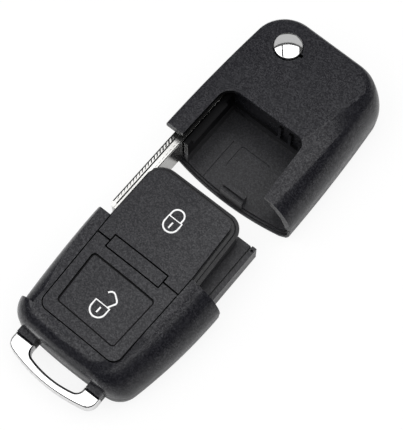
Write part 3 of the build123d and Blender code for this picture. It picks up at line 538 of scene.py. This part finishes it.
def soft_edged_copy(node, material, radius, segments=2, wide=None, inner=None, picks_painted_shade=None):
    """A merged copy of a node, with its sharp edges rounded, that stands for the node.

    With wide, only the edges whose middle it accepts get the full radius, and the others a part of it.
    With inner, the faces that the given picker chooses by their centres and normals get that second
    material: painted shade.
    """
    mesh = frame["nodes"][node].data.copy()
    mesh.name = f"{node}_soft"
    mesh.materials.clear()
    solid = bmesh.new()
    solid.from_mesh(mesh)
    bmesh.ops.remove_doubles(solid, verts=solid.verts, dist=WELD_DISTANCE)
    bmesh.ops.dissolve_limit(
        solid, angle_limit=FLAT_ANGLE, verts=solid.verts, edges=solid.edges, delimit={"NORMAL"}
    )
    weight = solid.edges.layers.float.new("bevel_weight_edge")
    for face in solid.faces:
        face.smooth = True
    for edge in solid.edges:
        if edge.is_manifold and edge.calc_face_angle() > SHARP_ANGLE:
            edge.smooth = False
            middle = (edge.verts[0].co + edge.verts[1].co) / 2
            edge[weight] = 1.0 if wide is None or wide(middle) else FINE_EDGE
    solid.to_mesh(mesh)
    solid.free()
    piece = link_piece(f"{node}_soft", mesh, material, BODIES[node])
    # Painted shade: the picked walls, undersides and grooves get the near-black second material
    if inner:
        mesh.materials.append(inner)
        centres, normals = np.empty((2, len(mesh.polygons), 3))
        mesh.polygons.foreach_get("center", centres.ravel())
        mesh.polygons.foreach_get("normal", normals.ravel())
        mesh.polygons.foreach_set("material_index", picks_painted_shade(centres, normals).astype(np.int32))
    bevel = piece.modifiers.new("soft_edges", "BEVEL")
    bevel.width = radius
    bevel.segments = segments
    bevel.limit_method = "WEIGHT"
    bevel.harden_normals = True
    shading = piece.modifiers.new("even_shading", "WEIGHTED_NORMAL")
    shading.keep_sharp = True
    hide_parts(node)
    return piece


def faces_inwards(node, has_ledges):
    """Picks the faces for the painted shade: those that look at the node's middle or down, and the ledges
    inside it, if it has any.
    """
    low, high = np.array(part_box(node))
    middle = (low + high) / 2

    def picked(centres, normals):
        outwards = ((centres - middle)[:, :2] * normals[:, :2]).sum(axis=1)
        away = np.minimum(centres - low, high - centres)[:, :2].min(axis=1)
        sunk = (centres[:, 2] < high[2] - LEDGE_DROP) & (away > LEDGE_INSET)
        ledge = (normals[:, 2] > FACING_UP) & sunk & has_ledges
        steep = np.abs(normals[:, 2]) < STEEPNESS
        return (steep & (outwards < 0)) | (normals[:, 2] < FACING_DOWN) | ledge

    return picked


def beside_cap_top(centres, normals):
    """Picks the walls of a cap, and the groove that lies under its sunk face, for the painted shade."""
    under = centres[:, 2] < sunk_height(centres[:, 0], centres[:, 1]) - GROOVE_MARGIN
    return (normals[:, 2] < FACING_UP) | under


def right_of_middle_parting(node):
    """Accepts the edges where the lower shell meets the upper one along its right side."""
    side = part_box(node)[1].x - PARTING_REACH
    return lambda point: abs(point.z - PARTING_HEIGHT) < PARTING_BAND and point.x > side


def blade_outer_edge(point):
    """Accepts the long upper edge on the blade's outer side."""
    across, below = OUTER_EDGE_BAND
    return point.x < BLADE_LOW.x + across and point.z > BLADE_HIGH.z - below


def shorten_with_button(spring):
    """Gives the flip spring a mesh of its own."""
    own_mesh(spring)


def paint_node(node, material):
    """Gives a shown CAD node its finish."""
    holder = frame["nodes"][node]
    if not holder.material_slots:
        holder.data.materials.append(material)
    for holder_slot in holder.material_slots:
        holder_slot.link = "OBJECT"
        holder_slot.material = material


def mesh_from_grid(name, vertices, faces):
    """A mesh of the given points and faces."""
    mesh = bpy.data.meshes.new(name)
    mesh.from_pydata(vertices.tolist(), [], faces.tolist())
    mesh.validate()
    return mesh


# Padlock prints


def arc_points(centre, radius, start, end, count):
    """Points of a circular arc, angles in degrees, as an array of (x, y)."""
    angle = np.radians(np.linspace(start, end, count))
    return np.column_stack((centre[0] + radius * np.cos(angle), centre[1] + radius * np.sin(angle)))


def unit_rows(vectors):
    """Each row divided by its own length."""
    return vectors / np.linalg.norm(vectors, axis=1)[:, None]


def ribbon_mesh(name, paths, width, height_of, ink_height):
    """Raised strokes: each path point is moved sideways along its normal by plus and minus half the width.

    A stroke's cross section is a low trapezium, so point (i, k) is path[i] + normal[i] * side[k] at
    the cap's height plus rise[k].
    """
    sides = np.array([-1, -STROKE_TOP_SHARE, STROKE_TOP_SHARE, 1]) * width / 2
    rises = np.array([0, 1, 1, 0]) * ink_height
    vertices, faces, start = [], [], 0
    for path, closed in paths:
        ahead = np.roll(path, -1, axis=0) - path
        behind = path - np.roll(path, 1, axis=0)
        if not closed:
            ahead[-1] = behind[-1]
            behind[0] = ahead[0]
        tangent = unit_rows(unit_rows(ahead) + unit_rows(behind))
        normal = np.column_stack((-tangent[:, 1], tangent[:, 0]))
        flat = path[:, None, :] + normal[:, None, :] * sides[None, :, None]
        z = height_of(flat[..., 0], flat[..., 1]) + rises[None, :]
        vertices.append(np.dstack((flat, z)).reshape(-1, 3))
        count = len(path)
        rows = np.arange(count if closed else count - 1)
        after = (rows + 1) % count
        grid = [
            np.column_stack((rows * 4 + k, after * 4 + k, after * 4 + k + 1, rows * 4 + k + 1))
            for k in range(3)
        ]
        faces.append(np.vstack(grid)[:, ::-1] + start)
        start += 4 * count
    return mesh_from_grid(name, np.vstack(vertices), np.vstack(faces))


def crown_height(x, y):
    """Height of the crowned cap: flat left of the start line, then a circle that falls to the right.

    z = top - radius + sqrt(radius^2 - beyond^2), where beyond is how far x lies past the start line.
    """
    beyond = np.clip(x - CROWN_START, 0, None)
    return CAP_TOP - CROWN_RADIUS + np.sqrt(CROWN_RADIUS**2 - beyond**2)


def sunk_height(x, y):
    """Height of the unlock cap's sunk face, which follows the crown."""
    return crown_height(x, y) - SUNK_FACE_DEPTH


def padlock_body(centre_x, top, half_width, side):
    """Closed outline of the lock's body in mm: a straight top, two sides and a half circle below."""
    bottom = arc_points((centre_x, top - side), half_width, 180, 360, 25)
    return np.vstack((bottom, [(centre_x + half_width, top), (centre_x - half_width, top)]))


def closed_padlock():
    """Strokes of the closed padlock in mm: body, shackle and key slot."""
    shackle = np.vstack(([(-2.98, 8.3)], arc_points((-1.38, 9.2), 1.6, 180, 0, 21), [(0.22, 8.3)]))
    slot = np.array([(-1.27, 5.75), (-1.25, 6.5), (-1.24, 7.35)])
    return [(padlock_body(-1.22, 8.3, 1.86, 1.55), True), (shackle, False), (slot, False)]


def open_padlock():
    """Strokes of the open padlock in mm, its shackle swung out to the right."""
    bend = np.array([
        (0.2, -17.05), (0.55, -16.35), (1.0, -15.55), (1.15, -15.2), (1.1, -14.85), (0.8, -14.5),
        (0.0, -13.9), (-0.45, -13.62), (-0.9, -13.48), (-1.35, -13.6), (-1.65, -13.88), (-1.95, -14.3),
    ])
    slot = np.array([(-1.02, -19.4), (-1.0, -18.6), (-0.99, -17.9)])
    return [(padlock_body(-1.1, -17.05, 1.93, 1.5), True), (bend, False), (slot, False)]


def placed_on_remote(strokes):
    """Strokes in metres, moved from the remote's own split end to where it lies."""
    return [(path * MM + np.array([0.0, REMOTE_SPLIT_Y]), closed) for path, closed in strokes]


# Blade


def slanted_bars_mesh(name, left, right, starts, widths, slant, base, rise):
    """A row of low slanted bars across the spine.

    Bar k is a box whose plan corners are (left, start), (right, start + slant), (right, start + slant +
    width) and (left, start + width), between the heights base and base + rise.
    """
    count = len(starts)
    x = np.broadcast_to(np.array([left, 0, 0, left]), (count, 4)).copy()
    x[:, 1:3] = right[:, None]
    y = starts[:, None] + np.array([0, slant, slant, 0]) + widths[:, None] * np.array([0, 0, 1, 1])
    low = np.dstack((x, y, np.full_like(x, base)))
    high = np.dstack((x, y, np.full_like(x, base + rise)))
    vertices = np.concatenate((low, high), axis=1).reshape(-1, 3)
    box = np.array([(3, 2, 1, 0), (4, 5, 6, 7), (0, 1, 5, 4), (1, 2, 6, 5), (2, 3, 7, 6), (3, 0, 4, 7)])
    faces = (box[None] + 8 * np.arange(count)[:, None, None]).reshape(-1, 4)
    return mesh_from_grid(name, vertices, faces)


def nick_shade_mesh(pitch):
    """Dark bars of painted shade for the nicks on the outer band, a pitch apart, whose length and width grow
    evenly towards the head.
    """
    starts = np.arange(NICKS_START, MARKS_END, pitch)
    left = BLADE_LOW.x + NICK_INSET
    right = left + np.interp(starts, (NICKS_START, MARKS_END), NICK_LENGTHS)
    widths = np.interp(starts, (NICKS_START, MARKS_END), NICK_WIDTHS)
    base = BLADE_HIGH.z - OUTER_BAND_DEPTH - MARK_ROOT
    return slanted_bars_mesh("spine_nick_shade", left, right, starts, widths, NICK_SLANT, base, NICK_HEIGHT)


def spine_shade_meshes():
    """The groove's line and the two rims as painted shade: each one straight dark bar along the blade."""
    start = np.array([LINES_START])
    lines = []
    for name, near_side, far_side, depth in SPINE_LINES:
        left, right = BLADE_LOW.x + near_side, np.array([BLADE_LOW.x + far_side])
        base = BLADE_HIGH.z - depth - MARK_ROOT
        line = slanted_bars_mesh(name, left, right, start, LINES_END - start, 0.0, base, LINE_HEIGHT)
        lines.append(line)
    return lines


def spine_dots_mesh():
    """A broken hairline along the inner band: equal bars, a pitch apart."""
    starts = np.arange(DOTS_START, MARKS_END, DOT_PITCH)
    left = BLADE_LOW.x + DOT_INSET
    right = np.full_like(starts, left + DOT_WIDTH)
    lengths = np.full_like(starts, DOT_LENGTH)
    base = BLADE_HIGH.z - DOT_ROOT
    return slanted_bars_mesh("spine_dots", left, right, starts, lengths, 0.0, base, DOT_HEIGHT)


# Operators


class FLIPKEY_OT_mould_shells(Operator):
    """Round the shells' edges, give them their black grain and paint shade on their inner walls and the
    caps' sides and groove
    """

    bl_idname = "flip_key.mould_shells"
    bl_label = "Mould Shells"

    def execute(self, context):
        plastic = context.scene.flip_key.plastic
        shell = grained_plastic(
            "grained_shell_plastic", plastic.shell_colour,
            roughness=0.27, grain_depth=0.02 * MM, speckle=0.26, glint=0.4, specular=0.17,
        )
        cap = grained_plastic(
            "grained_cap_plastic", plastic.cap_colour,
            roughness=0.34, grain_depth=0.02 * MM, speckle=0.22, glint=0.4, specular=0.2,
        )
        # Lower shells: their own lighter tone, partly painted light against the shade in the head's bay
        lower = grained_plastic(
            "lower_shell_plastic", plastic.lower_colour,
            roughness=0.36, grain_depth=0.012 * MM, speckle=0.2, glint=0.3, specular=0.2,
        )
        inner = grained_plastic(
            "smooth_inner_plastic", plastic.inner_colour,
            roughness=0.32, grain_depth=0.006 * MM, speckle=0.1, glint=0.1,
        )
        # Painted shade: dull near-black plastic for the inner walls, the caps' sides and the groove, where
        # shade falls
        painted_shade = grained_plastic(
            "painted_shade_wall_plastic", plastic.painted_shade_colour, roughness=0.4, grain_depth=0.004 * MM, specular=0.1
        )
        for node, has_ledges in (("head_upper_shell", True), ("remote_front_shell", False)):
            picked = faces_inwards(node, has_ledges)
            soft_edged_copy(node, shell, plastic.edge_radius, inner=painted_shade, picks_painted_shade=picked)
        for node in ("head_lower_shell", "remote_back_shell"):
            soft_edged_copy(node, lower, plastic.parting_radius, wide=right_of_middle_parting(node))
        for node in ("button_frame", "blade_hub"):
            soft_edged_copy(node, inner, plastic.edge_radius)
        for node in ("lock_button", "unlock_button", "hinge_bar"):
            soft_edged_copy(node, cap, CAP_EDGE * plastic.edge_radius, inner=painted_shade, picks_painted_shade=beside_cap_top)
        paint_node("release_plunger", inner)
        return {"FINISHED"}


class FLIPKEY_OT_polish_metal(Operator):
    """Plate the release button and the bail, and brush the steel"""

    bl_idname = "flip_key.polish_metal"
    bl_label = "Polish Metal"

    def execute(self, context):
        metal = context.scene.flip_key.metal
        chrome = bright_chrome("bright_chrome", metal.chrome_colour, roughness=0.05)
        steel = brushed_steel(
            "brushed_blade_steel", metal.blade_colour, roughness=0.2, line_depth=0.0006 * MM
        )
        plain = brushed_steel(
            "plain_steel", metal.plain_colour, roughness=0.3, line_depth=0.004 * MM, lines_per_metre=8000.0
        )
        soft_edged_copy("key_ring_bail", chrome, metal.chrome_edge, segments=3)
        soft_edged_copy("release_button", chrome, BUTTON_EDGE * metal.chrome_edge, segments=3)
        soft_edged_copy("key_blade", steel, metal.blade_edge, wide=blade_outer_edge)
        for node in ("head_screw", "hub_washer", "blade_roll_pin"):
            paint_node(node, plain)
        shorten_with_button(soft_edged_copy("flip_spring", plain, metal.chrome_edge))
        for node in ("battery_contact_negative", "battery_contact_positive"):
            paint_node(node, steel)
        return {"FINISHED"}


class FLIPKEY_OT_paint_spine_shade(Operator):
    """Lay the dark bars of painted shade for the spine's nicks, groove and edges, and the dots along the
    blade's spine
    """

    bl_idname = "flip_key.nick_spine"
    bl_label = "Nick Spine"

    def execute(self, context):
        metal = context.scene.flip_key.metal
        dark = dull_spine_paint("spine_shade_and_dot_paint", metal.spine_shade_and_dot_colour)
        for mesh in (nick_shade_mesh(metal.nick_pitch), *spine_shade_meshes(), spine_dots_mesh()):
            link_piece(mesh.name, mesh, dark, BODIES["key_blade"])
        return {"FINISHED"}


class FLIPKEY_OT_seat_rubber_mat(Operator):
    """Give the mat under the buttons its rubber"""

    bl_idname = "flip_key.seat_rubber_mat"
    bl_label = "Seat Rubber Mat"

    def execute(self, context):
        colour = context.scene.flip_key.plastic.rubber_colour
        rubber = grained_plastic(
            "dark_mat_rubber", colour, roughness=0.75, grain_depth=0.01 * MM, speckle=0.1
        )
        paint_node("button_membrane", rubber)
        return {"FINISHED"}


class FLIPKEY_OT_print_padlocks(Operator):
    """Print the closed and the open padlock on the caps"""

    bl_idname = "flip_key.print_padlocks"
    bl_label = "Print Padlocks"

    def execute(self, context):
        padlocks = context.scene.flip_key.padlocks
        ink = print_ink("white_print_ink", padlocks.ink_colour)
        for name, strokes, height_of, node in (
            ("closed_padlock_print", closed_padlock(), crown_height, "lock_button"),
            ("open_padlock_print", open_padlock(), sunk_height, "unlock_button"),
        ):
            paths = placed_on_remote(strokes)
            mesh = ribbon_mesh(name, paths, padlocks.stroke, height_of, padlocks.ink_height)
            link_piece(name, mesh, ink, BODIES[node])
        return {"FINISHED"}


# Stage


def ceiling_box(name, sides, radiance):
    """A soft lamp under the ceiling, lined up with the camera, whose face has the given radiance."""
    left, right, near, far = sides
    light = bpy.data.lights.new(name, "AREA")
    light.shape = "RECTANGLE"
    light.size = right - left
    light.size_y = far - near
    light.energy = radiance * np.pi * light.size * light.size_y
    lamp = bpy.data.objects.new(name, light)
    across, along = (left + right) / 2, (near + far) / 2
    lamp.location = (
        across * cos(CAMERA_TURN) - along * sin(CAMERA_TURN),
        across * sin(CAMERA_TURN) + along * cos(CAMERA_TURN),
        LAMP_HEIGHT,
    )
    lamp.rotation_euler = (0, 0, CAMERA_TURN)
    bpy.context.scene.collection.objects.link(lamp)


def glowing_floor(name, studio):
    """A matt floor that takes shadows, mixed with plain white for what the camera and mirrors see of it."""
    material, tree, shader = new_material(name, studio.floor_colour, roughness=0.9)
    path = tree.nodes.new("ShaderNodeLightPath")
    mirrored = math(tree, "MAXIMUM", path.outputs["Is Glossy Ray"], path.outputs["Is Transmission Ray"])
    mirrored = math(tree, "MULTIPLY", mirrored, studio.mirrored_glow)
    seen = math(tree, "MULTIPLY", path.outputs["Is Camera Ray"], studio.floor_glow)
    glow = tree.nodes.new("ShaderNodeEmission")
    blend = tree.nodes.new("ShaderNodeMixShader")
    tree.links.new(math(tree, "MAXIMUM", mirrored, seen), blend.inputs["Fac"])
    tree.links.new(shader.outputs["BSDF"], blend.inputs[1])
    tree.links.new(glow.outputs["Emission"], blend.inputs[2])
    tree.links.new(blend.outputs["Shader"], tree.nodes["Material Output"].inputs["Surface"])
    return material


def photo_camera(lens):
    """The camera at the photograph's viewing angle."""
    data = bpy.data.cameras.new("photo_camera")
    data.lens = lens
    data.sensor_width = SENSOR_WIDTH
    camera = bpy.data.objects.new("photo_camera", data)
    bpy.context.scene.collection.objects.link(camera)
    level = cos(CAMERA_ELEVATION)
    away = Vector((sin(CAMERA_TURN) * level, -cos(CAMERA_TURN) * level, sin(CAMERA_ELEVATION)))
    camera.location = CAMERA_TARGET + away * CAMERA_DISTANCE
    camera.rotation_euler = (-away).to_track_quat("-Z", "Y").to_euler()
    return camera


class FLIPKEY_OT_set_stage(Operator):
    """Set the pale floor, the soft lamps and the camera"""

    bl_idname = "flip_key.set_stage"
    bl_label = "Set Stage"

    def execute(self, context):
        studio = context.scene.flip_key.studio
        scene = context.scene
        square = np.array([(-1, -1), (1, -1), (1, 1), (-1, 1)]) * FLOOR_REACH
        corners = np.column_stack((square, np.full(4, cad_box[0][2] - FLOOR_GAP)))
        floor_mesh = mesh_from_grid("pale_floor", corners, np.array([(0, 1, 2, 3)]))
        floor_mesh.materials.append(glowing_floor("pale_floor", studio))
        floor = bpy.data.objects.new("pale_floor", floor_mesh)
        scene.collection.objects.link(floor)

        world = bpy.data.worlds.new("dim_room")
        world.use_nodes = True
        background = world.node_tree.nodes["Background"]
        background.inputs["Color"].default_value = (1.0, 1.0, 1.0, 1.0)
        background.inputs["Strength"].default_value = studio.room_light
        scene.world = world
        scene.view_settings.view_transform = "Standard"

        ceiling_box("right_softbox", RIGHT_SOFTBOX, studio.right_radiance)
        ceiling_box("left_softbox", LEFT_SOFTBOX, studio.left_radiance)
        ceiling_box("back_panel", BACK_PANEL, studio.back_radiance)
        scene.camera = photo_camera(studio.camera_lens)
        return {"FINISHED"}


class FLIPKEY_PT_sidebar(Panel):
    """Settings and steps of the flip key shell"""

    bl_label = "Flip Key"
    bl_idname = "FLIPKEY_PT_sidebar"
    bl_space_type = "VIEW_3D"
    bl_region_type = "UI"
    bl_category = "Flip Key"

    def draw(self, context):
        settings = context.scene.flip_key
        for part in (settings.plastic, settings.metal, settings.padlocks, settings.studio):
            box = self.layout.box()
            for name in part.__annotations__:
                box.prop(part, name)
        for operator in STEPS:
            self.layout.operator(operator.bl_idname)


STEPS = (
    FLIPKEY_OT_mould_shells,
    FLIPKEY_OT_polish_metal,
    FLIPKEY_OT_paint_spine_shade,
    FLIPKEY_OT_seat_rubber_mat,
    FLIPKEY_OT_print_padlocks,
    FLIPKEY_OT_set_stage,
)
CLASSES = (
    MouldedPlasticSettings,
    MetalSettings,
    PadlockPrintSettings,
    StudioSettings,
    FlipKeySettings,
    *STEPS,
    FLIPKEY_PT_sidebar,
)


def register():
    for item in CLASSES:
        bpy.utils.register_class(item)
    bpy.types.Scene.flip_key = PointerProperty(type=FlipKeySettings)


def unregister():
    del bpy.types.Scene.flip_key
    for item in reversed(CLASSES):
        bpy.utils.unregister_class(item)


def main():
    register()
    bpy.ops.flip_key.mould_shells()
    bpy.ops.flip_key.polish_metal()
    bpy.ops.flip_key.nick_spine()
    bpy.ops.flip_key.seat_rubber_mat()
    bpy.ops.flip_key.print_padlocks()
    bpy.ops.flip_key.set_stage()


if __name__ == "__main__":
    main()
